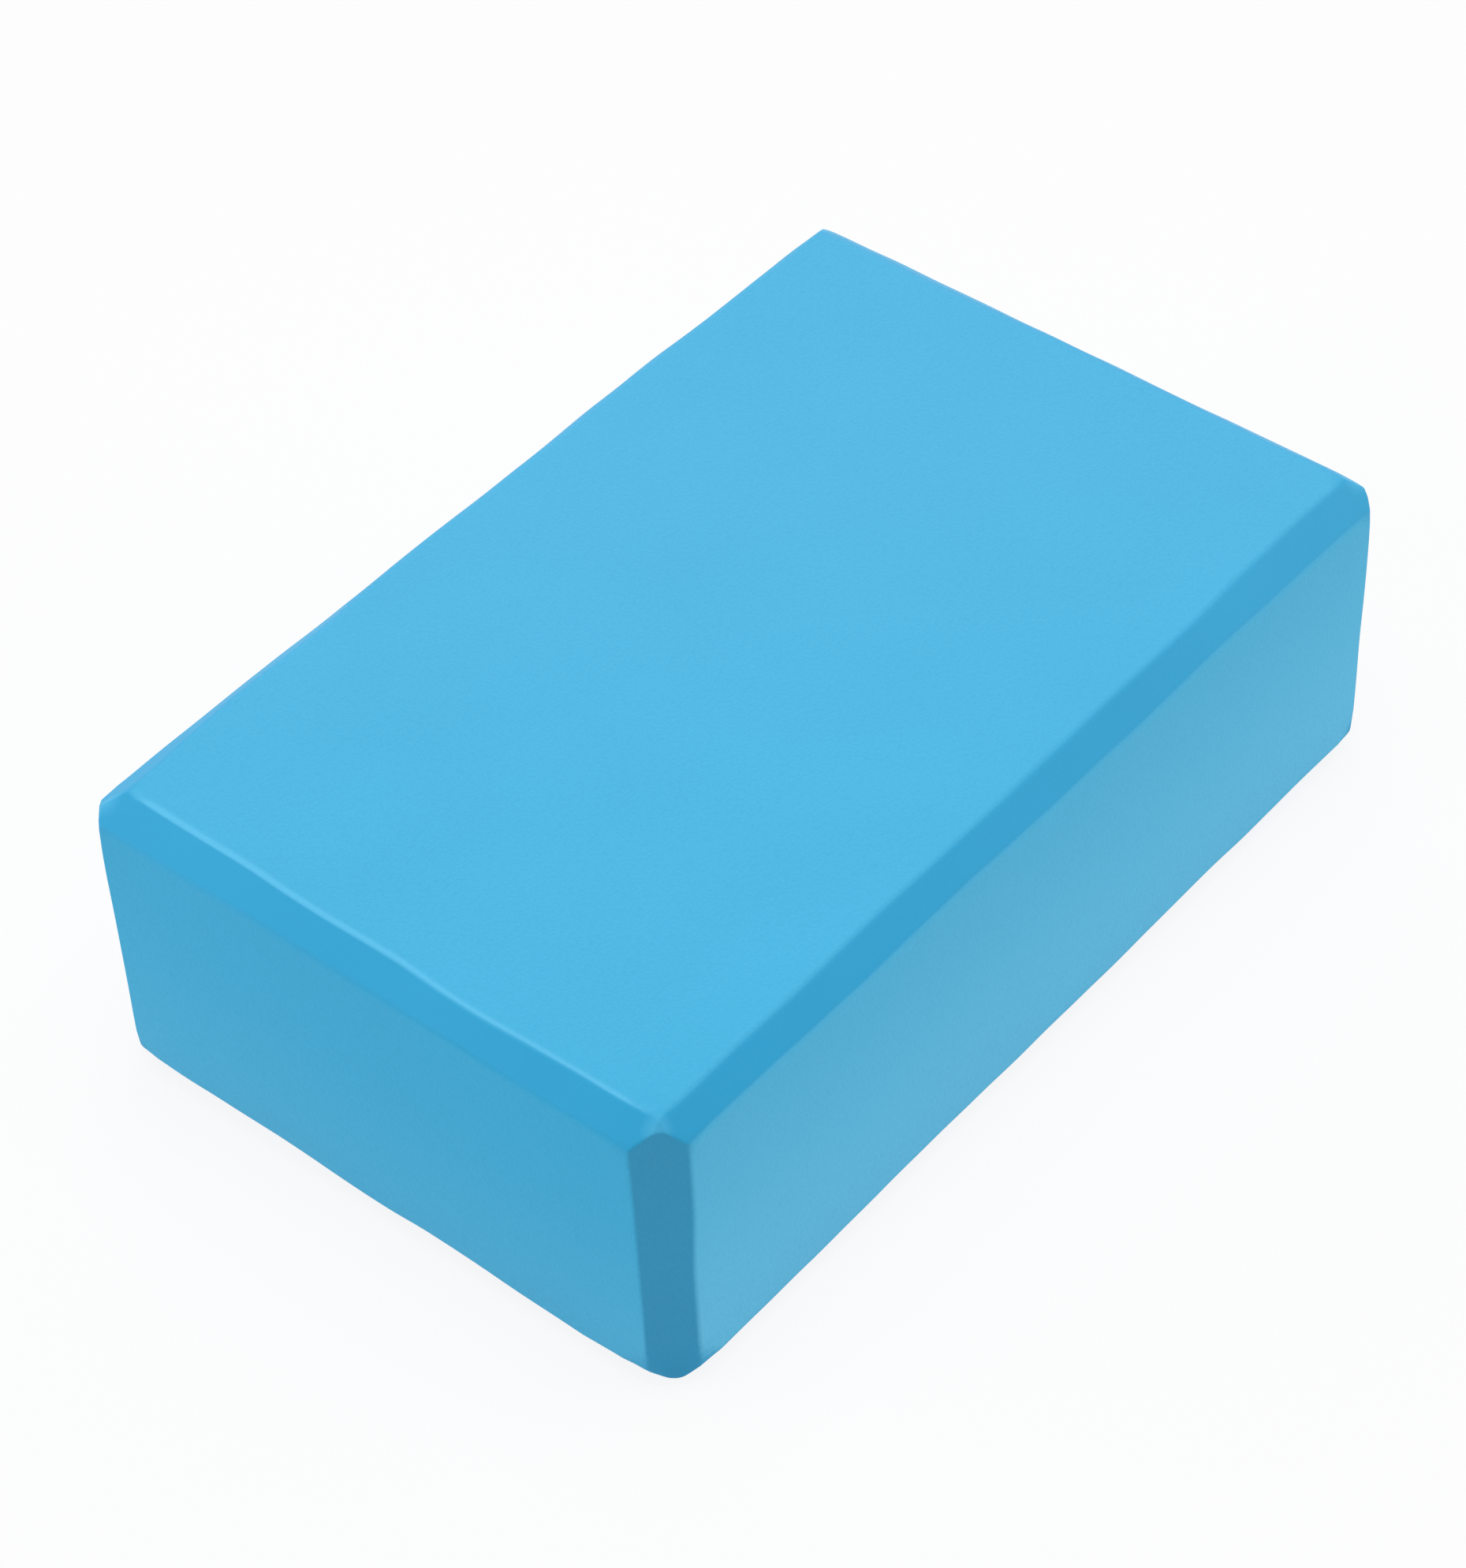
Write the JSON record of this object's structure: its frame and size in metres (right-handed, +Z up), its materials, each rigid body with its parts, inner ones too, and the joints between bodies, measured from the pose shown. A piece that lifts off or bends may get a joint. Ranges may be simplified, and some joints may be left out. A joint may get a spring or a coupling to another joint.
{
  "type": "yoga block",
  "caption": "Rectangular foam block with bevelled edges and eased corners, a firm hand or body support that stands flat, on its side or on end.",
  "frame": {"origin": "middle of the underside, with the block lying flat", "axes": "+X along the length, +Y across the width, +Z up through the height"},
  "size_m": [0.23, 0.147, 0.073],
  "materials": {
    "foam": "fine closed-cell foam, matt, sky blue"
  },
  "bodies": {
    "root": {"block": "foam"}
  },
  "joints": []
}
